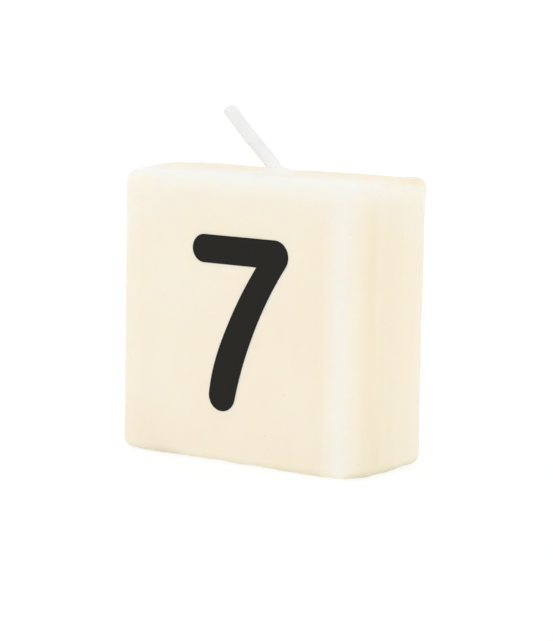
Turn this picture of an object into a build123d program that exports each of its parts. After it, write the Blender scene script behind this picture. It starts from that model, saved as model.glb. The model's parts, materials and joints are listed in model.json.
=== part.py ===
"""Number birthday candle: a small upright block of cast wax with a black 7 on its front face.

Frame: millimetres, +Z up. The origin is the middle of the flat base. The numeral faces -Y, and the
wick leaves the middle of the top face and leans towards -X.

A steel wick sustainer sits in a recess under the block and holds the waxed wick, which runs up
through the block. A second pour of wax, the base plug, seals the recess, and a drop of wax sets
as a collar round the wick's foot. The wick is one braid, but its free end bends over by hand, so
it is two solids here: the run held in the wax, and the tip, which turns about the bend.
"""

import os
from math import cos, radians, sin

from build123d import *

# Wax block
body_width = 42.0
body_depth = 20.0
body_height = 40.0
corner_radius = 5.2
top_edge_radius = 1.6
base_edge_radius = 1.4

# Wick
wick_radius = 0.92
bend_height = 1.1
lean_angle = 46.3
tip_length = 11.2
tip_end_rounding = 0.45
bend_gap = 0.15

# Wick sustainer
disc_radius = 6.0
disc_thickness = 0.3
neck_radius = 1.35
neck_length = 3.0
neck_root_fillet = 0.5
crimp_depth = 0.2
crimp_width = 1.2
crimp_height = 1.6
crimp_rise = 0.8
fitting_gap = 0.1

# Base plug
plug_thickness = 1.6
plug_radius = 7.0
plug_draft = 8.0

# Wax collar round the wick's foot
collar_radius = 2.8
collar_well_depth = 0.2
collar_height = 0.42
collar_throat = 0.08
collar_waist = (1.5, 0.12)

# Numeral, as (x, z) places on the front face
numeral_thickness = 0.3
bar_left = -6.55
bar_bottom = 28.03
bar_top = 31.97
corner_start = (7.32, bar_top)
corner_end = (9.2, 28.38)
inner_corner = (4.33, bar_bottom)
stem_left = (-1.63, 16.9)
foot_right = (0.98, 9.26)
foot_left = (-3.42, 9.97)

# Places that follow from the sizes above
seat_height = plug_thickness + disc_thickness
pivot = Vector(0, 0, body_height + bend_height)
lean = radians(lean_angle)
tip_direction = Vector(-sin(lean), 0, cos(lean))
wick_top = pivot.Z - wick_radius - bend_gap
front_face = Plane(origin=(0, -body_depth / 2, 0), x_dir=(1, 0, 0), z_dir=(0, -1, 0))


# The outline of the 7, drawn on the front face: a level bar with a round left end, and a stem
# that curves down from the bar's rounded right corner to a round foot.
bar_end_radius = (bar_top - bar_bottom) / 2
bar_end_centre = bar_left + bar_end_radius
with BuildSketch(front_face) as seven:
    with BuildLine():
        top = Line((bar_end_centre, bar_top), corner_start)
        corner = TangentArc(top @ 1, corner_end, tangent=top % 1)
        right_edge = TangentArc(corner @ 1, foot_right, tangent=corner % 1)
        foot = TangentArc(right_edge @ 1, foot_left, tangent=right_edge % 1)
        lower_left_edge = TangentArc(foot @ 1, stem_left, tangent=foot % 1)
        left_edge = TangentArc(lower_left_edge @ 1, inner_corner, tangent=lower_left_edge % 1)
        bottom = Line(left_edge @ 1, (bar_end_centre, bar_bottom))
        ThreePointArc(bottom @ 1, (bar_left, (bar_top + bar_bottom) / 2), top @ 0)
    make_face()


# Wax block: an upright tablet with soft edges, a pocket for the numeral, a recess in its base,
# a bore for the wick and a shallow well where the wick comes out.
with BuildPart() as wax_block:
    with BuildSketch():
        RectangleRounded(body_width, body_depth, corner_radius)
    extrude(amount=body_height)
    fillet(wax_block.faces().sort_by(Axis.Z)[-1].edges(), top_edge_radius)
    fillet(wax_block.faces().sort_by(Axis.Z)[0].edges(), base_edge_radius)
    extrude(seven.sketch, amount=-numeral_thickness, mode=Mode.SUBTRACT)
    with BuildSketch(Plane.XY):
        Circle(plug_radius)
    extrude(amount=seat_height, taper=plug_draft, mode=Mode.SUBTRACT)
    with BuildSketch(Plane.XY.offset(seat_height)):
        Circle(neck_radius + fitting_gap)
    extrude(amount=neck_length + fitting_gap, mode=Mode.SUBTRACT)
    neck_mouth = wax_block.edges().filter_by(GeomType.CIRCLE).filter_by_position(
        Axis.Z, seat_height, seat_height
    )
    chamfer(neck_mouth.sort_by(SortBy.RADIUS)[0], neck_root_fillet + fitting_gap)
    with BuildSketch(Plane.XY):
        Circle(wick_radius)
    extrude(amount=body_height, mode=Mode.SUBTRACT)
    with BuildSketch(Plane.XY.offset(body_height - collar_well_depth)):
        Circle(collar_radius)
    extrude(amount=collar_well_depth, mode=Mode.SUBTRACT)
wax_block.part.label = "wax_block"


# Numeral: a thin black film, pressed flush into the front face.
with BuildPart() as numeral:
    extrude(seven.sketch, amount=-numeral_thickness)
numeral.part.label = "numeral"


# Wick sustainer: a pressed steel disc with a drawn neck, crimped onto the wick from two sides.
with BuildPart() as wick_sustainer:
    with BuildSketch(Plane.XZ):
        with BuildLine():
            Polyline(
                (wick_radius, plug_thickness),
                (disc_radius, plug_thickness),
                (disc_radius, seat_height),
                (neck_radius, seat_height),
                (neck_radius, seat_height + neck_length),
                (wick_radius, seat_height + neck_length),
                close=True,
            )
        make_face()
    revolve(axis=Axis.Z)
    neck_root = wick_sustainer.edges().filter_by(GeomType.CIRCLE).filter_by_position(
        Axis.Z, seat_height, seat_height
    )
    fillet(neck_root.sort_by(SortBy.RADIUS)[0], neck_root_fillet)
    crimp_centre = seat_height + crimp_rise + crimp_height / 2
    with Locations(
        (neck_radius, 0, crimp_centre),
        (-neck_radius, 0, crimp_centre),
    ):
        Box(2 * crimp_depth, crimp_width, crimp_height, mode=Mode.SUBTRACT)
wick_sustainer.part.label = "wick_sustainer"


# Base plug: the second pour, level with the base, with the sustainer's disc set in its top.
with BuildPart() as base_plug:
    with BuildSketch(Plane.XY):
        Circle(plug_radius)
    extrude(amount=seat_height, taper=plug_draft)
    with BuildSketch(Plane.XY.offset(plug_thickness)):
        Circle(disc_radius)
    extrude(amount=disc_thickness, mode=Mode.SUBTRACT)
base_plug.part.label = "base_plug"


# Wick: the run held in the wax, from the sustainer's underside to just under the bend.
with BuildPart() as wick:
    with BuildSketch(Plane.XY.offset(plug_thickness)):
        Circle(wick_radius)
    extrude(amount=wick_top - plug_thickness)
wick.part.label = "wick"


# Wick collar: a drop of wax that fills the well and climbs the wick in a hollow curve.
with BuildPart() as wick_collar:
    well_floor = body_height - collar_well_depth
    rim_height = body_height + collar_height
    with BuildSketch(Plane.XZ):
        with BuildLine():
            floor = Line((wick_radius, well_floor), (collar_radius, well_floor))
            wall = Line(floor @ 1, (collar_radius, body_height))
            rise = ThreePointArc(
                wall @ 1,
                (collar_waist[0], body_height + collar_waist[1]),
                (wick_radius + collar_throat, rim_height),
            )
            rim = Line(rise @ 1, (wick_radius, rim_height))
            Line(rim @ 1, floor @ 0)
        make_face()
    revolve(axis=Axis.Z)
wick_collar.part.label = "wick_collar"


# Wick tip: the free end beyond the bend, a straight stub with a ball foot on the bend's centre
# and a blunt, rounded end.
tip_plane = Plane(origin=pivot, x_dir=(cos(lean), 0, sin(lean)), z_dir=(0, -1, 0))
with BuildPart() as wick_tip:
    with BuildSketch(tip_plane):
        with BuildLine():
            ball = RadiusArc((0, -wick_radius), (wick_radius, 0), -wick_radius)
            side = Line(ball @ 1, (wick_radius, tip_length - tip_end_rounding))
            cap = RadiusArc(
                side @ 1,
                (wick_radius - tip_end_rounding, tip_length),
                -tip_end_rounding,
            )
            end = Line(cap @ 1, (0, tip_length))
            Line(end @ 1, ball @ 0)
        make_face()
    revolve(axis=Axis(pivot, tip_direction))
wick_tip.part.label = "wick_tip"


os.makedirs("parts", exist_ok=True)
for piece in (wax_block, numeral, wick_sustainer, base_plug, wick, wick_collar, wick_tip):
    export_step(piece.part, f"parts/{piece.part.label}.step")
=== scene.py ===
"""Looks of the number birthday candle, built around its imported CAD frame.

Metres, +Z up, the origin in the middle of the base. The numeral faces -Y.
"""

import json
from math import atan2, cos, degrees, exp, hypot, pi, radians, sin, sqrt, tan

import bmesh
import bpy
from mathutils import Matrix, Vector, noise


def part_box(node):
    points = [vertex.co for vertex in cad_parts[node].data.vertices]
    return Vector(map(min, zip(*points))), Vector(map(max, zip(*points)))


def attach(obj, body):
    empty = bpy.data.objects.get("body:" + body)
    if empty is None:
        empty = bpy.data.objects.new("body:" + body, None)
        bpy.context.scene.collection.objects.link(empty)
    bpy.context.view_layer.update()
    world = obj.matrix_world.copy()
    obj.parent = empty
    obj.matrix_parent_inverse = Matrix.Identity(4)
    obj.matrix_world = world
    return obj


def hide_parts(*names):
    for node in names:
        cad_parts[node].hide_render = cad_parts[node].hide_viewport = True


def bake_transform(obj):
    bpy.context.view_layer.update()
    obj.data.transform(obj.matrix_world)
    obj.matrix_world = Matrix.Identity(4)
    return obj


MM = 0.001
UP = Vector((0, 0, 1))

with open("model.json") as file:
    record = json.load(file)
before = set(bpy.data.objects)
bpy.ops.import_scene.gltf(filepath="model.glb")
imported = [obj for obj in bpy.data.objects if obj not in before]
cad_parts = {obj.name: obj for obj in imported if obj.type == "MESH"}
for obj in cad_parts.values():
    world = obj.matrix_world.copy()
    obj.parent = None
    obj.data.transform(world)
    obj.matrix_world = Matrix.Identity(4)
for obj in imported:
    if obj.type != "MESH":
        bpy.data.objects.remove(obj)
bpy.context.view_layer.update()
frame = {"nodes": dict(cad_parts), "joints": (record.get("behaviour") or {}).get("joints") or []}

# Places read from the frame
block_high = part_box("wax_block")[1]
wick_low, wick_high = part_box("wick")
plug_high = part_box("base_plug")[1]
collar_low, collar_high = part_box("wick_collar")
disc_low, disc_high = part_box("wick_sustainer")
pivot = Vector(frame["joints"][0]["pos_m"])
top = block_high.z
half_width = block_high.x
half_depth = block_high.y
wick_radius = wick_high.x

# Sizes that the CAD part has too
CORNER_RADIUS = 5.2 * MM
LEAN = radians(46.3)
LEAN_WAY = Vector((-sin(LEAN), 0, cos(LEAN)))
TIP_LENGTH = 11.2 * MM
DISC_THICKNESS = 0.3 * MM
NECK_BORE = 1.45 * MM
FITTING_GAP = 0.1 * MM
RECESS_DRAFT = radians(8)

# Gap between the plug and what it fills or holds
PLUG_GAP = 0.02 * MM

# Camera: three quarters from the front, a little above the candle
AZIMUTH = radians(35.14)
ELEVATION = radians(7.98)
ROLL = radians(1.0)
DISTANCE = 371.8 * MM
LENS = 148.2
AIM_RIGHT = 0.67 * MM
AIM_DOWN = 0.72 * MM


def make_camera():
    """A long lens aimed near the block's middle."""
    back = Vector((sin(AZIMUTH) * cos(ELEVATION), -cos(AZIMUTH) * cos(ELEVATION), sin(ELEVATION)))
    level = Vector((cos(AZIMUTH), sin(AZIMUTH), 0))
    upright = back.cross(level)
    right = cos(ROLL) * level + sin(ROLL) * upright
    up = cos(ROLL) * upright - sin(ROLL) * level
    data = bpy.data.cameras.new("camera")
    data.lens = LENS
    camera = bpy.data.objects.new("camera", data)
    camera.matrix_world = Matrix((right, up, back)).transposed().to_4x4()
    middle = Vector((0, 0, top / 2))
    camera.location = middle + DISTANCE * back + AIM_RIGHT * right - AIM_DOWN * up
    bpy.context.scene.collection.objects.link(camera)
    bpy.context.scene.camera = camera


# Shapes and numbers that several pieces use


def smooth_step(low, high, value):
    """From 0 below low to 1 above high, with a smooth rise between them."""
    share = min(max((value - low) / (high - low), 0), 1)
    return share * share * (3 - 2 * share)


def bell(distance, reach):
    """1 at no distance, falling smoothly to next to nothing at twice the reach."""
    return exp(-((distance / reach) ** 2))


def smooth_max(first, second, softness):
    """The larger of two values, with a soft turn where they cross."""
    return (first + second + hypot(first - second, softness)) / 2


def wave(point, size, seed):
    """Smooth noise between about -1 and 1, whose lumps are about size across."""
    return noise.noise(point / size + Vector((seed, 2.7 * seed, -1.3 * seed)))


def link_mesh(name, vertices, faces, smooth=True):
    """A new object from vertices and faces."""
    mesh = bpy.data.meshes.new(name)
    mesh.from_pydata([tuple(v) for v in vertices], [], faces)
    mesh.validate()
    if smooth:
        mesh.shade_smooth()
    piece = bpy.data.objects.new(name, mesh)
    bpy.context.scene.collection.objects.link(piece)
    return piece


def store_measure(mesh, name, measure):
    """Stores measure(place) at the mesh's points under this name, for a material to read."""
    layer = mesh.attributes.new(name, "FLOAT", "POINT")
    for vertex, item in zip(mesh.vertices, layer.data):
        item.value = measure(vertex.co)


def turned(name, profile, segments):
    """A solid turned about Z. The profile's (radius, height) points start and end on the axis."""
    vertices, faces = [], []
    inner = profile[1:-1]
    for k in range(segments):
        angle = 2 * pi * (k + 0.5) / segments
        vertices += [Vector((r * cos(angle), r * sin(angle), z)) for r, z in inner]
    first, last = len(vertices), len(vertices) + 1
    vertices += [Vector((0, 0, profile[0][1])), Vector((0, 0, profile[-1][1]))]
    for k in range(segments):
        here, there = k * len(inner), (k + 1) % segments * len(inner)
        faces.append([first, there, here])
        for step in range(len(inner) - 1):
            faces.append([here + step, there + step, there + step + 1, here + step + 1])
        faces.append([last, here + len(inner) - 1, there + len(inner) - 1])
    return link_mesh(name, vertices, faces)


# Wax block

TOP_FRONT_RADIUS = 2.1 * MM
TOP_BACK_RADIUS = 1.1 * MM
BASE_RADIUS = 1.5 * MM
BASE_UNEVENNESS = 0.35
FRONT_SINKAGE = 0.06 * MM
END_SINKAGE = 0.05 * MM
RIM_LIFT = 0.17 * MM

# Spacing of the block's mesh on its faces, and within a margin of its edges
COARSE = 0.42 * MM
FINE = 0.24 * MM
EDGE_MARGIN = 2.4 * MM

# Waves of the cast surface: the height, the size across and the seed
CAST_WAVES = (
    (0.08 * MM, 11 * MM, 3.0),
    (0.018 * MM, 4.5 * MM, 8.0),
)

# Where the cast stands out or has sunk: the middle, the reach and the height
SWELLS = (
    (Vector((-18.5 * MM, 1.5 * MM, top)), 3.9 * MM, 0.4 * MM),
    (Vector((19.5 * MM, 8.5 * MM, top)), 3 * MM, 0.33 * MM),
    (Vector((-3.8 * MM, 10 * MM, top)), 3.5 * MM, -0.27 * MM),
)


def ruled(low, high):
    """Places from low to high, closer together within a margin of each end."""
    near = round(EDGE_MARGIN / FINE)
    inner = high - low - 2 * EDGE_MARGIN
    across = round(inner / COARSE)
    start = [low + FINE * i for i in range(near)]
    middle = [low + EDGE_MARGIN + inner * i / across for i in range(across + 1)]
    return start + middle + [low + high - place for place in reversed(start)]


def box_grid(xs, ys, zs):
    """Vertices and quads of a closed box whose faces are ruled along these places."""
    index, vertices, quads = {}, [], []

    def corner(i, j, k):
        if (i, j, k) not in index:
            index[i, j, k] = len(vertices)
            vertices.append(Vector((xs[i], ys[j], zs[k])))
        return index[i, j, k]

    def face(*corners):
        quads.append([corner(*c) for c in corners])

    nx, ny, nz = len(xs) - 1, len(ys) - 1, len(zs) - 1
    for i in range(nx):
        for j in range(ny):
            face((i, j, 0), (i, j + 1, 0), (i + 1, j + 1, 0), (i + 1, j, 0))
            face((i, j, nz), (i + 1, j, nz), (i + 1, j + 1, nz), (i, j + 1, nz))
        for k in range(nz):
            face((i, 0, k), (i + 1, 0, k), (i + 1, 0, k + 1), (i, 0, k + 1))
            face((i, ny, k), (i, ny, k + 1), (i + 1, ny, k + 1), (i + 1, ny, k))
    for j in range(ny):
        for k in range(nz):
            face((0, j, k), (0, j, k + 1), (0, j + 1, k + 1), (0, j + 1, k))
            face((nx, j, k), (nx, j + 1, k), (nx, j + 1, k + 1), (nx, j, k + 1))
    return vertices, quads


def round_edge(inset, depth, radius):
    """Moves a point near a square edge, given as its distances inside both faces, onto an arc."""
    along, down = radius - inset, radius - depth
    if along <= 0 or down <= 0:
        return inset, depth
    reach = hypot(along, down)
    return radius - radius * along / reach, radius - radius * down / reach


def block_point(box_point):
    """A point of the square box, moved to the rounded block's surface, and the way it faces."""
    x, y, z = box_point
    upper = z > top / 2
    sense = UP if upper else -UP
    outward = Vector((
        max(abs(x) - (half_width - CORNER_RADIUS), 0) * (1 if x > 0 else -1),
        max(abs(y) - (half_depth - CORNER_RADIUS), 0) * (1 if y > 0 else -1),
        0,
    ))
    if outward.length == 0:
        return Vector(box_point), sense
    core = Vector((x, y, 0)) - outward
    facing = outward.normalized()
    inset = CORNER_RADIUS - max(abs(outward.x), abs(outward.y))
    depth = top - z if upper else z
    if upper:
        radius = TOP_BACK_RADIUS + (TOP_FRONT_RADIUS - TOP_BACK_RADIUS) * (0.5 - 0.5 * facing.y)
    else:
        unevenness = BASE_UNEVENNESS * wave(core + facing * CORNER_RADIUS, 5 * MM, 21.0)
        radius = BASE_RADIUS * (1 + unevenness)
    inset, depth = round_edge(inset, depth, radius)
    place = core + facing * (CORNER_RADIUS - inset)
    place.z = top - depth if upper else depth
    sideways = max(radius - inset, 0) if depth > 0 else 0
    upright = max(radius - depth, 0) if inset > 0 else 0
    return place, (facing * sideways + sense * upright).normalized()


def sink(u, v):
    """Share of a face's sinkage at u and v, each from -1 to 1 across the face."""
    return max(0.0, 1 - u * u) * max(0.0, 1 - v * v)


def rim_lift(place):
    """How far the uneven base edge stands off the table."""
    beyond = hypot(
        max(abs(place.x) - (half_width - CORNER_RADIUS), 0),
        max(abs(place.y) - (half_depth - CORNER_RADIUS), 0),
    )
    inset = CORNER_RADIUS - beyond
    fade = (1 - smooth_step(1.2 * MM, 3.6 * MM, inset)) * max(1 - place.z / (2.2 * MM), 0)
    long_dents = 0.12 * MM * wave(Vector((place.x, place.y, 0)), 4.6 * MM, 13.0)
    short_dents = 0.09 * MM * wave(place, 2.1 * MM, 31.0)
    return max(RIM_LIFT + long_dents + short_dents, 0) * fade


def cast_surface(place, normal):
    """The block's true surface: its relief and sinkage, which fade at the base, and the base edge."""
    place = place + UP * rim_lift(place)
    if normal.z < -0.99:
        return place
    u, v, w = place.x / half_width, place.y / half_depth, 2 * place.z / top - 1
    hollow = FRONT_SINKAGE * sink(u, w) * abs(normal.y) + END_SINKAGE * sink(v, w) * abs(normal.x)
    relief = sum(height * wave(place, size, seed) for height, size, seed in CAST_WAVES)
    for middle, reach, height in SWELLS:
        relief += height * bell((place - middle).length, reach)
    fade = min(1.0, place.z / (0.8 * MM))
    return place + normal * fade * (relief - hollow)


# Tones of the wax, mostly painted highlight and painted shade, each measured from 0 to 1 at a place on
# the block

# How strong the painted highlight strips down the upright edges are
BACK_STRIP = 0.4
FRONT_RIGHT_STRIP = 0.72
FRONT_LEFT_STRIP = 0.2

# Where poured wax has splashed the top: how far it reaches, and how far forward its middle lies
SPLASH_REACH = 4.2 * MM
SPLASH_FORWARD = 1 * MM


def side_azimuth(place):
    """Which way the side here faces: 0 on the front and back, 90 on the ends."""
    return degrees(atan2(
        abs(place.x) - (half_width - CORNER_RADIUS), abs(place.y) - (half_depth - CORNER_RADIUS)
    ))


def end_share(place):
    """How far the side here belongs to an end: 0 on the front and back, 1 on the ends."""
    return smooth_step(20, 80, side_azimuth(place))


def near_top(place):
    """How near the top a place on a side is: 1 over about the top eighth, and 0 below two thirds."""
    return smooth_step(27 * MM, 35 * MM, place.z)


def back_warmth(place):
    """How far the top's painted highlight at the front has given way to painted warm shade at its back.

    Round the wick's foot the top stays pale, where poured wax has splashed it.
    """
    on_top = smooth_step(top - 1.2 * MM, top - 0.1 * MM, place.z)
    splashed = bell(hypot(place.x, place.y + SPLASH_FORWARD), SPLASH_REACH)
    return on_top * (1 - splashed) * smooth_step(-0.95 * half_depth, 0.6 * half_depth, place.y)


def painted_highlight(place):
    """How much painted highlight the wax gets: round the top's rim, and down the upright edges."""
    if place.y > 0:
        strip = BACK_STRIP
    elif place.x > 0:
        strip = FRONT_RIGHT_STRIP
    else:
        strip = FRONT_LEFT_STRIP * near_top(place)
    upright_edge = strip * bell(side_azimuth(place) - 25, 17)
    run = (2.2 + 0.6 * place.x / half_width - 0.4 * end_share(place)) * MM
    rim = min(1.1 * exp(-(top - place.z) / run), 1) * (1 - back_warmth(place))
    return min(max(upright_edge, rim) + 0.3 * min(upright_edge, rim), 1)


def painted_warm_shade(place):
    """How much deeper, warmer painted shade the wax gets: most on the ends, at the top's back, low on
    the left edge, and rising to the right across the front and back.
    """
    azimuth = side_azimuth(place)
    if azimuth < 0:
        return max(0.4 * smooth_step(-half_width, half_width, place.x), back_warmth(place))
    on_end = smooth_step(45, 80, azimuth) * (1 - 0.75 * smooth_step(-5 * MM, 6 * MM, place.y))
    on_left_edge = 0
    if place.x < 0 and place.y < 0:
        on_left_edge = 0.45 * smooth_step(5, 45, azimuth) * (1 - near_top(place))
    return max(on_end, on_left_edge, back_warmth(place))


def shade(place):
    """How much painted shade the wax gets: a little low on the sides, and most at the base edge, more
    on the ends and to the right.
    """
    end = end_share(place)
    strength = 0.5 + 0.09 * place.x / half_width + 0.38 * end
    edge = strength * bell(place.z, (0.8 + 0.1 * end) * MM)
    return 0.09 * (1 - smooth_step(1 * MM, 14 * MM, place.z)) + edge


def bare(place):
    """How far light can enter the wax: the poured drop covers it round the wick."""
    from_foot = (place - UP * top).length
    return smooth_step(collar_high.x + 0.5 * MM, collar_high.x + 3.5 * MM, from_foot)


def carve(piece, cutter):
    """Cuts the cutter out of the piece."""
    modifier = piece.modifiers.new("cut", "BOOLEAN")
    modifier.operation = "DIFFERENCE"
    modifier.solver = "EXACT"
    modifier.object = cutter
    depsgraph = bpy.context.evaluated_depsgraph_get()
    carved = bpy.data.meshes.new_from_object(piece.evaluated_get(depsgraph))
    carved.name = piece.name
    piece.modifiers.clear()
    piece.data = carved
    bpy.data.objects.remove(cutter)


def make_block():
    """The cast block, with its base recess, wick bore and the well round the wick cut out."""
    vertices, quads = box_grid(
        ruled(-half_width, half_width), ruled(-half_depth, half_depth), ruled(0, top)
    )
    block = link_mesh("wax_block_cast", [cast_surface(*block_point(v)) for v in vertices], quads)
    seat = disc_low.z + DISC_THICKNESS
    neck_top = disc_high.z + FITTING_GAP
    mouth = plug_high.x + PLUG_GAP
    clear = 2 * MM
    carve(block, turned("cutter", [
        (0, -clear),
        (mouth + clear * tan(RECESS_DRAFT), -clear),
        (mouth - seat * tan(RECESS_DRAFT), seat),
        (NECK_BORE, seat),
        (NECK_BORE, neck_top),
        (wick_radius, neck_top),
        (wick_radius, collar_low.z),
        (collar_high.x, collar_low.z),
        (collar_high.x, top + clear),
        (0, top + clear),
    ], 96))
    mesh = block.data
    mesh.shade_smooth()
    mesh.set_sharp_from_angle(angle=radians(40))
    for measure in (painted_highlight, painted_warm_shade, shade, bare):
        store_measure(mesh, measure.__name__, measure)
    return block


# Numeral

FILM_FRONT = 0.05 * MM
FILM_THICKNESS = 0.13 * MM
FILM_EDGE = 0.03 * MM
FILM_SPACING = 0.5 * MM


def arc_to(start, end, tangent, count):
    """Points after start along the arc that leaves start along tangent and ends at end."""
    chord = end - start
    turn = 2 * atan2(tangent.x * chord.y - tangent.y * chord.x, tangent.dot(chord))
    radius = chord.length / (2 * sin(turn / 2))
    centre = start + Vector((-tangent.y, tangent.x)) * radius
    points = []
    for i in range(1, count + 1):
        points.append(centre + Matrix.Rotation(turn * i / count, 2) @ (start - centre))
    return points, Matrix.Rotation(turn, 2) @ tangent


def seven_outline():
    """The outline of the 7 on the front face, as (x, z), clockwise from the bar's top left."""
    bar_left, bar_bottom, bar_top = -6.55, 28.03, 31.97
    end_radius = (bar_top - bar_bottom) / 2
    start = Vector((bar_left + end_radius, bar_top))
    outline = [start, Vector((7.32, bar_top))]
    way = Vector((1, 0))
    # The arcs round the bar's right corner, down the stem's right edge, round its foot, and up its
    # left edge in two: where each one ends, and how many points it has
    for end, count in (
        ((9.2, 28.38), 14),
        ((0.98, 9.26), 40),
        ((-3.42, 9.97), 26),
        ((-1.63, 16.9), 16),
        ((4.33, bar_bottom), 24),
    ):
        points, way = arc_to(outline[-1], Vector(end), way, count)
        outline += points
    outline.append(Vector((bar_left + end_radius, bar_bottom)))
    points, way = arc_to(outline[-1], start, Vector((-1, 0)), 24)
    outline += points[:-1]
    return [point * MM for point in outline]


def make_numeral():
    """A thin film with softly rounded edges that follows the front face."""
    curve = bpy.data.curves.new("outline", "CURVE")
    curve.dimensions = "2D"
    curve.fill_mode = "BOTH"
    outline = seven_outline()
    spline = curve.splines.new("POLY")
    spline.points.add(len(outline) - 1)
    for point, place in zip(spline.points, outline):
        point.co = (place.x, place.y, 0, 1)
    spline.use_cyclic_u = True
    curve.extrude = FILM_THICKNESS / 2 - FILM_EDGE
    curve.bevel_depth = FILM_EDGE
    curve.offset = -FILM_EDGE
    curve.bevel_resolution = 3
    drawn = bpy.data.objects.new("outline", curve)
    mesh = bpy.data.meshes.new_from_object(drawn)
    mesh.name = "numeral_film"
    bpy.data.objects.remove(drawn)
    shape = bmesh.new()
    shape.from_mesh(mesh)
    bmesh.ops.remove_doubles(shape, verts=shape.verts, dist=1e-6)
    for axis in (0, 1):
        low = min(v.co[axis] for v in shape.verts)
        high = max(v.co[axis] for v in shape.verts)
        normal = Vector((1 - axis, axis, 0))
        for i in range(1, int((high - low) / FILM_SPACING) + 1):
            geometry = shape.verts[:] + shape.edges[:] + shape.faces[:]
            cut = normal * (low + i * FILM_SPACING)
            bmesh.ops.bisect_plane(shape, geom=geometry, plane_co=cut, plane_no=normal, dist=1e-7)
    for vertex in shape.verts:
        across, height, out = vertex.co
        face = cast_surface(Vector((across, -half_depth, height)), Vector((0, -1, 0)))
        vertex.co = face - Vector((0, out + FILM_FRONT - FILM_THICKNESS / 2, 0))
    bmesh.ops.recalc_face_normals(shape, faces=shape.faces)
    shape.to_mesh(mesh)
    shape.free()
    mesh.shade_smooth()
    mesh.set_sharp_from_angle(angle=radians(50))
    film = bpy.data.objects.new("numeral_film", mesh)
    bpy.context.scene.collection.objects.link(film)
    return film


# Wick

BEND_RADIUS = 1.3 * MM
STRANDS = 4
LEAD = 6.4 * MM
STRAND_RELIEF = 0.03 * MM
KNOB_RELIEF = 0.085 * MM
COAT = 0.045 * MM
RING_STEP = 0.1 * MM
RING_POINTS = 64
END_ROUNDING = 0.32 * MM
END_SLANT = 0.22
END_SLANT_RUN = 1.5 * MM
BOW = 0.08 * MM

# The wax in the bend fills it out to a straight wick, this much thinner and with this soft an edge
FILL_INSET = 0.04 * MM
FILL_SOFTNESS = 0.04 * MM


def wick_centreline(along):
    """Place of the wick's middle line this far up from its lower end, and the way to its right."""
    upright = pivot.z - BEND_RADIUS * tan(LEAN / 2) - wick_low.z
    angle = min(max((along - upright) / BEND_RADIUS, 0), LEAN)
    beyond = max(along - upright - BEND_RADIUS * LEAN, 0)
    place = Vector((
        -BEND_RADIUS * (1 - cos(angle)),
        0,
        wick_low.z + min(along, upright) + BEND_RADIUS * sin(angle),
    ))
    side = Vector((cos(angle), 0, sin(angle)))
    bow = BOW * sin(pi * beyond / TIP_LENGTH)
    return place + beyond * LEAN_WAY - bow * side, side


def wick_relief(angle, along):
    """How far the coated braid stands out: faint crossing strands under soft knobs of wax."""
    twist = 2 * pi * along / LEAD
    right_hand = 0.5 + 0.5 * cos(STRANDS * (angle - twist))
    left_hand = 0.5 + 0.5 * cos(STRANDS * (angle + twist))
    strands = (right_hand**3 + left_hand**3) ** (1 / 3)
    spot = Vector((cos(angle), sin(angle), 0)) * wick_radius + UP * along
    return STRAND_RELIEF * (strands - 0.6) + KNOB_RELIEF * wave(spot, 1.15 * MM, 5.0)


def lean_reach(centre, way):
    """How far out from centre, along way, a straight leaning wick's surface is, or 0 off the wick."""
    radius = wick_radius - FILL_INSET
    offset = centre - pivot
    across = offset - offset.dot(LEAN_WAY) * LEAN_WAY
    slant = way - way.dot(LEAN_WAY) * LEAN_WAY
    room = radius**2 - across.length_squared
    if room < 0:
        return 0.0
    half = across.dot(slant)
    return (sqrt(half**2 + slant.length_squared * room) - half) / slant.length_squared


def near_foot(place):
    """How near the wick's foot a place on its free end is, from 0 to 1."""
    return 1 - smooth_step(top + 0.6 * MM, top + 3.4 * MM, place.z)


def make_wick():
    """The whole waxed braid, from the sustainer to its blunt end, with wax filling its bend."""
    tangent_run = BEND_RADIUS * tan(LEAN / 2)
    length = pivot.z - 2 * tangent_run - wick_low.z + BEND_RADIUS * LEAN + TIP_LENGTH
    rings = round(length / RING_STEP)
    vertices, faces = [], []
    for i in range(rings + 1):
        along = length * i / rings
        place, side = wick_centreline(along)
        for k in range(RING_POINTS):
            angle = 2 * pi * k / RING_POINTS
            way = cos(angle) * side + sin(angle) * Vector((0, 1, 0))
            radius = wick_radius + COAT + wick_relief(angle, along)
            if along < collar_low.z - wick_low.z:
                radius = min(radius, wick_radius)
            else:
                radius = smooth_max(radius, lean_reach(place, way), FILL_SOFTNESS)
            rounding = END_ROUNDING * (1.2 - 0.5 * cos(angle))
            left = max(rounding - (length - along), 0)
            radius -= rounding - sqrt(rounding**2 - left**2)
            slant = END_SLANT * smooth_step(length - END_SLANT_RUN, length, along)
            vertices.append(place + radius * way - slant * radius * cos(angle) * LEAN_WAY)
    for i in range(rings):
        for k in range(RING_POINTS):
            a, b = i * RING_POINTS + k, i * RING_POINTS + (k + 1) % RING_POINTS
            faces.append([a, b, b + RING_POINTS, a + RING_POINTS])
    for ring, along, outward in ((0, 0, False), (rings, length, True)):
        centre = len(vertices)
        vertices.append(wick_centreline(along)[0])
        for k in range(RING_POINTS):
            a, b = ring * RING_POINTS + k, ring * RING_POINTS + (k + 1) % RING_POINTS
            faces.append([a, b, centre] if outward else [b, a, centre])
    braid = link_mesh("braided_wick", vertices, faces)
    store_measure(braid.data, "foot", near_foot)
    return braid


# Poured wax

DROP_HEIGHT = 1.1 * MM
DROP_SKIRT = 3.2 * MM
DROP_RIM = 0.012 * MM
DROP_SUNK = 0.05 * MM
DROP_INTO_WICK = 0.1 * MM
DROP_PAST_WELL = 0.15 * MM
DROP_POINTS = 96
DROP_STEPS = 20


def top_height(x, y):
    """Height of the cast top face."""
    return cast_surface(Vector((x, y, top)), UP).z


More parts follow.
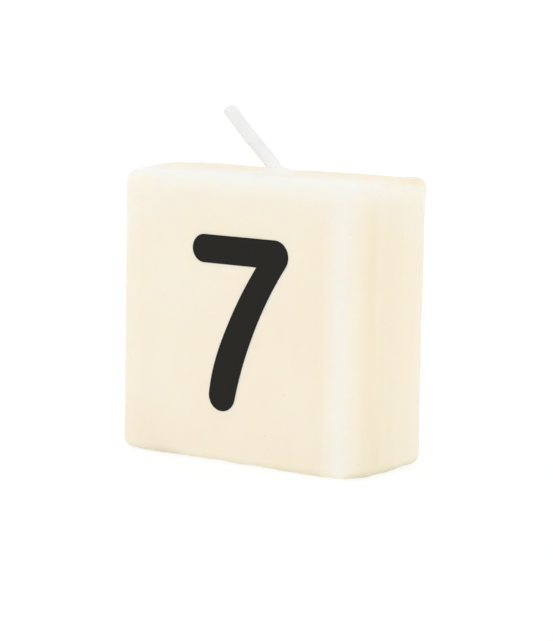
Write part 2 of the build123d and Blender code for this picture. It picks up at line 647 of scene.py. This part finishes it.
def show_through(place):
    """How far the block's painted warm shade shows through the drop, from 0 to 1: most at its thin rim.
    """
    thickness = place.z - top_height(place.x, place.y)
    return back_warmth(place) * (1 - smooth_step(0, 0.45 * MM, thickness))


def make_collar():
    """The drop of wax that fills the well and spreads out thin round the wick's foot."""
    inner = wick_radius - DROP_INTO_WICK
    vertices, faces = [], []
    for k in range(DROP_POINTS):
        angle = 2 * pi * k / DROP_POINTS
        way = Vector((cos(angle), sin(angle), 0))
        height = DROP_HEIGHT * (0.8 + 0.2 * cos(angle))
        edge = max(lean_reach(Vector((0, 0, top + height)), way), wick_radius)
        spread = DROP_SKIRT * (1 + 0.2 * wave(way, 0.9, 6.0))
        outer = max(edge + spread, collar_high.x + DROP_PAST_WELL)
        vertices += [way * inner + UP * collar_low.z, way * collar_high.x + UP * collar_low.z]
        rim = way * outer
        vertices.append(rim + UP * (top_height(rim.x, rim.y) - DROP_SUNK))
        for i in range(DROP_STEPS + 1):
            share = 1 - i / DROP_STEPS
            place = way * (edge + (outer - edge) * share)
            outward = min((outer - edge) * share / spread, 1)
            thickness = DROP_RIM * (1 - share) + height * (1 - outward) ** 2 * (1 + 1.2 * outward)
            vertices.append(place + UP * (top_height(place.x, place.y) + thickness))
        vertices.append(way * inner + UP * (top + height))
    count = len(vertices) // DROP_POINTS
    for k in range(DROP_POINTS):
        here, there = k * count, (k + 1) % DROP_POINTS * count
        for step in range(count):
            after = (step + 1) % count
            faces.append([here + step, there + step, there + after, here + after])
    drop = link_mesh("wick_collar_drop", vertices, faces)
    drop.data.set_sharp_from_angle(angle=radians(50))
    store_measure(drop.data, "show_through", show_through)
    return drop


def make_plug():
    """The poured wax that fills the recess under the block, faintly dished and rippled."""
    radius = plug_high.x
    steps = 24
    dish = 0.06 * MM
    profile = []
    for i in range(steps + 1):
        share = i / steps
        ripple = 0.15 * dish * cos(24 * share) * (1 - share)
        profile.append((radius * share, dish * (1 - share**3) + ripple))
    disc_edge = disc_high.x + PLUG_GAP
    profile += [
        (radius - plug_high.z * tan(RECESS_DRAFT), plug_high.z),
        (disc_edge, plug_high.z),
        (disc_edge, disc_low.z),
        (0, disc_low.z),
    ]
    plug = turned("base_plug_pour", profile, 96)
    plug.data.set_sharp_from_angle(angle=radians(40))
    return plug


# Materials


def tone(red, green, blue):
    """A display colour, each part from 0 to 255, as the linear colour that shaders use."""
    return tuple(((c / 255 + 0.055) / 1.055) ** 2.4 for c in (red, green, blue))


# The deeper, warmer colour of the painted warm shade
WARM_SHADE_TONE = tone(241.5, 231, 205.5)

# How deep light enters the bare block, and how deep it enters poured wax and what that covers
BARE_DEPTH = 0.6 * MM
COVERED_DEPTH = 0.02 * MM

# Where nearly all of a noise texture's values lie
NOISE_RANGE = (0.3, 0.7)


def new_material(name):
    """An empty node material and its shader."""
    material = bpy.data.materials.new(name)
    material.use_nodes = True
    tree = material.node_tree
    return material, tree, tree.nodes["Principled BSDF"]


def object_noise(tree, size, detail=2.0, roughness=0.5, stretch=(1, 1, 1)):
    """Noise in the object's own space, whose lumps are about size across."""
    place = tree.nodes.new("ShaderNodeTexCoord")
    mapping = tree.nodes.new("ShaderNodeMapping")
    mapping.inputs["Scale"].default_value = stretch
    texture = tree.nodes.new("ShaderNodeTexNoise")
    texture.inputs["Scale"].default_value = 1 / size
    texture.inputs["Detail"].default_value = detail
    texture.inputs["Roughness"].default_value = roughness
    tree.links.new(place.outputs["Object"], mapping.inputs["Vector"])
    tree.links.new(mapping.outputs["Vector"], texture.inputs["Vector"])
    return texture.outputs["Fac"]


def specks(tree, spacing, radius):
    """1 inside small dots scattered about spacing apart through the object's space, else 0."""
    place = tree.nodes.new("ShaderNodeTexCoord")
    texture = tree.nodes.new("ShaderNodeTexVoronoi")
    texture.inputs["Scale"].default_value = 1 / spacing
    tree.links.new(place.outputs["Object"], texture.inputs["Vector"])
    return spread(tree, texture.outputs["Distance"], (0.4 * radius / spacing, radius / spacing), (1, 0))


def mesh_measure(tree, name):
    """A number from 0 to 1 that the mesh holds at its points."""
    node = tree.nodes.new("ShaderNodeAttribute")
    node.attribute_name = name
    return node.outputs["Fac"]


def ramp(tree, value, stops):
    """A colour ramp over value, with (position, colour) stops."""
    node = tree.nodes.new("ShaderNodeValToRGB")
    elements = node.color_ramp.elements
    while len(elements) < len(stops):
        elements.new(0.5)
    for element, (position, colour) in zip(elements, stops):
        element.position = position
        element.color = (*colour, 1)
    tree.links.new(value, node.inputs["Fac"])
    return node.outputs["Color"]


def mixed(tree, share, first, second):
    """The first colour, turned into the second by share."""
    node = tree.nodes.new("ShaderNodeMix")
    node.data_type = "RGBA"
    factor, first_socket, second_socket = [s for s in node.inputs if s.enabled]
    tree.links.new(share, factor)
    tree.links.new(first, first_socket)
    second_socket.default_value = (*second, 1)
    return [s for s in node.outputs if s.enabled][0]


def spread(tree, value, source, target):
    """The value, moved from the source range to the target range and kept inside it."""
    node = tree.nodes.new("ShaderNodeMapRange")
    node.inputs["From Min"].default_value, node.inputs["From Max"].default_value = source
    node.inputs["To Min"].default_value, node.inputs["To Max"].default_value = target
    tree.links.new(value, node.inputs["Value"])
    return node.outputs["Result"]


def product(tree, first, second):
    """Two values multiplied."""
    node = tree.nodes.new("ShaderNodeMath")
    node.operation = "MULTIPLY"
    tree.links.new(first, node.inputs[0])
    tree.links.new(second, node.inputs[1])
    return node.outputs["Value"]


def bumped(tree, shader, height, distance, strength):
    """Bumps in the shader's normal."""
    node = tree.nodes.new("ShaderNodeBump")
    node.inputs["Distance"].default_value = distance
    node.inputs["Strength"].default_value = strength
    tree.links.new(height, node.inputs["Height"])
    tree.links.new(node.outputs["Normal"], shader.inputs["Normal"])


def wax_shader(tree, shader, colour):
    """Satin wax of this colour, which light enters."""
    tree.links.new(colour, shader.inputs["Base Color"])
    shader.inputs["Subsurface Weight"].default_value = 0.8
    shader.inputs["Subsurface Radius"].default_value = (1.0, 0.72, 0.45)
    shader.inputs["IOR"].default_value = 1.44
    shader.inputs["Specular IOR Level"].default_value = 0.35
    shader.inputs["Coat Weight"].default_value = 0.06
    shader.inputs["Coat Roughness"].default_value = 0.35
    sheen = object_noise(tree, 2.2 * MM, 3, 0.6)
    tree.links.new(spread(tree, sheen, NOISE_RANGE, (0.36, 0.5)), shader.inputs["Roughness"])
    bumped(tree, shader, object_noise(tree, 0.6 * MM, 2, 0.5), 0.012 * MM, 0.5)


def block_material():
    """Ivory cast wax: soft warm clouds, painted highlight on the rims, painted shade on the ends and
    base, and a few specks.
    """
    material, tree, shader = new_material("ivory_wax")
    clouds = object_noise(tree, 13 * MM, 1.5, 0.45)
    colour = ramp(tree, clouds, [
        (0.36, tone(248, 236.2, 218.8)),
        (0.64, tone(248.6, 238.2, 222.8)),
    ])
    # Painted warm shade: the ends, the top's back, the low left edge and the front's right turn deeper,
    # streaked along the wax's upright grain
    upright_grain = object_noise(tree, 1.9 * MM, 1.5, 0.5, (1, 1, 0.08))
    streaks = spread(tree, upright_grain, NOISE_RANGE, (0.65, 1.1))
    deeper = product(tree, mesh_measure(tree, "painted_warm_shade"), streaks)
    colour = mixed(tree, deeper, colour, WARM_SHADE_TONE)
    # Painted shade: darker, duller wax low on the sides and at the base edge
    colour = mixed(tree, mesh_measure(tree, "shade"), colour, tone(204, 204, 172))
    # Painted highlight: paler, whiter wax round the top's rim and down the upright edges, in patches
    patches = spread(tree, object_noise(tree, 4 * MM, 2, 0.5), NOISE_RANGE, (0.82, 1.05))
    paler = product(tree, mesh_measure(tree, "painted_highlight"), patches)
    colour = mixed(tree, paler, colour, tone(243, 243, 236.5))
    colour = mixed(tree, specks(tree, 3.6 * MM, 0.13 * MM), colour, tone(222, 205, 172))
    wax_shader(tree, shader, colour)
    depth = spread(tree, mesh_measure(tree, "bare"), (0, 1), (COVERED_DEPTH, BARE_DEPTH))
    tree.links.new(depth, shader.inputs["Subsurface Scale"])
    return material


def seal_material():
    """Paler poured wax, with the block's painted warm shade showing through the drop's thin rim."""
    material, tree, shader = new_material("seal_wax")
    clouds = object_noise(tree, 2.5 * MM, 2, 0.5)
    colour = ramp(tree, clouds, [(0.35, tone(246, 241, 232)), (0.65, tone(246, 243, 237))])
    # Painted warm shade of the block, showing through the drop's thin rim
    colour = mixed(tree, mesh_measure(tree, "show_through"), colour, WARM_SHADE_TONE)
    wax_shader(tree, shader, colour)
    shader.inputs["Subsurface Scale"].default_value = COVERED_DEPTH
    return material


def film_material():
    """Matt black transfer film."""
    material, tree, shader = new_material("numeral_black")
    grain = object_noise(tree, 0.35 * MM, 3, 0.6)
    colour = ramp(tree, grain, [(0.3, tone(35, 34, 31)), (0.7, tone(39, 38, 35))])
    tree.links.new(colour, shader.inputs["Base Color"])
    tree.links.new(spread(tree, grain, NOISE_RANGE, (0.62, 0.8)), shader.inputs["Roughness"])
    shader.inputs["Specular IOR Level"].default_value = 0.08
    bumped(tree, shader, grain, 0.004 * MM, 0.5)
    return material


def wick_material():
    """Cotton braid under a coat of clear wax."""
    material, tree, shader = new_material("waxed_cotton")
    patches = object_noise(tree, 1.6 * MM, 2, 0.5)
    colour = ramp(tree, patches, [(0.3, tone(236, 236, 237)), (0.7, tone(241, 241, 241))])
    # Painted light: the wick is paler near its foot, against the shade the block casts there
    colour = mixed(tree, mesh_measure(tree, "foot"), colour, tone(251, 248, 245))
    tree.links.new(colour, shader.inputs["Base Color"])
    tree.links.new(spread(tree, patches, NOISE_RANGE, (0.4, 0.55)), shader.inputs["Roughness"])
    shader.inputs["Coat Weight"].default_value = 0.2
    shader.inputs["Coat Roughness"].default_value = 0.3
    bumped(tree, shader, object_noise(tree, 0.5 * MM, 2, 0.5), 0.01 * MM, 0.25)
    return material


def steel_material():
    """Tin-plated steel with fine rolling marks."""
    material, tree, shader = new_material("tinned_steel")
    marks = object_noise(tree, 0.3 * MM, 4, 0.6, (1, 12, 1))
    colour = ramp(tree, marks, [(0.3, tone(205, 205, 203)), (0.7, tone(227, 227, 225))])
    tree.links.new(colour, shader.inputs["Base Color"])
    shader.inputs["Metallic"].default_value = 1.0
    tree.links.new(spread(tree, marks, NOISE_RANGE, (0.24, 0.42)), shader.inputs["Roughness"])
    bumped(tree, shader, marks, 0.01 * MM, 0.4)
    return material


def floor_material():
    """A plain pale table top that glows softly from below, as a light table does."""
    material, tree, shader = new_material("pale_floor")
    grain = object_noise(tree, 40 * MM, 2, 0.5)
    colour = ramp(tree, grain, [(0.0, tone(128, 128, 128)), (1.0, tone(131, 131, 131))])
    tree.links.new(colour, shader.inputs["Base Color"])
    shader.inputs["Roughness"].default_value = 0.9
    shader.inputs["Specular IOR Level"].default_value = 0.1
    shader.inputs["Emission Color"].default_value = (1, 1, 1, 1)
    shader.inputs["Emission Strength"].default_value = 0.79
    return material


def wear(piece, material, slot, *nodes):
    """Gives a piece its material and hides the CAD nodes it stands for. The slot is not used."""
    piece.data.materials.clear()
    piece.data.materials.append(material)
    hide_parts(*nodes)


# Stage


def soft_light(name, place, aim, size, power):
    """A square softbox at place, aimed at aim."""
    data = bpy.data.lights.new(name, "AREA")
    data.shape = "SQUARE"
    data.size = size
    data.energy = power
    light = bpy.data.objects.new(name, data)
    light.location = place
    light.rotation_mode = "QUATERNION"
    light.rotation_quaternion = (Vector(aim) - Vector(place)).to_track_quat("-Z", "Y")
    bpy.context.scene.collection.objects.link(light)


def make_stage():
    """A wide pale floor, an even white surround and two softboxes."""
    reach = 8
    square = ((-1, -1), (1, -1), (1, 1), (-1, 1))
    corners = [Vector((reach * x, reach * y, 0)) for x, y in square]
    floor = link_mesh("floor", corners, [[0, 1, 2, 3]], smooth=False)
    floor.data.materials.append(floor_material())
    world = bpy.data.worlds.new("surround")
    world.use_nodes = True
    sky = world.node_tree.nodes["Background"]
    sky.inputs["Color"].default_value = (1, 1, 1, 1)
    sky.inputs["Strength"].default_value = 1.0
    bpy.context.scene.world = world
    middle = (0, 0, top / 2)
    soft_light("key", (-0.35, -0.5, 0.55), middle, 0.4, 0.05)
    soft_light("overhead", (0.05, 0.05, 0.8), middle, 0.5, 0.03)
    bpy.context.scene.view_settings.view_transform = "Standard"


make_camera()
make_stage()

block = make_block()
wear(block, block_material(), "ivory_wax", "wax_block")
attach(block, "candle_body")

numeral = make_numeral()
wear(numeral, film_material(), "numeral_film", "numeral")
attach(numeral, "candle_body")

poured_wax = seal_material()
collar = make_collar()
wear(collar, poured_wax, "seal_wax", "wick_collar")
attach(collar, "candle_body")

plug = make_plug()
wear(plug, poured_wax, "seal_wax", "base_plug")
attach(plug, "candle_body")

wick = make_wick()
wear(wick, wick_material(), "wick_cotton", "wick", "wick_tip")
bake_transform(wick)

# The sustainer's CAD shape is right as it is
sustainer = frame["nodes"]["wick_sustainer"]
sustainer.data.materials.clear()
sustainer.data.materials.append(steel_material())
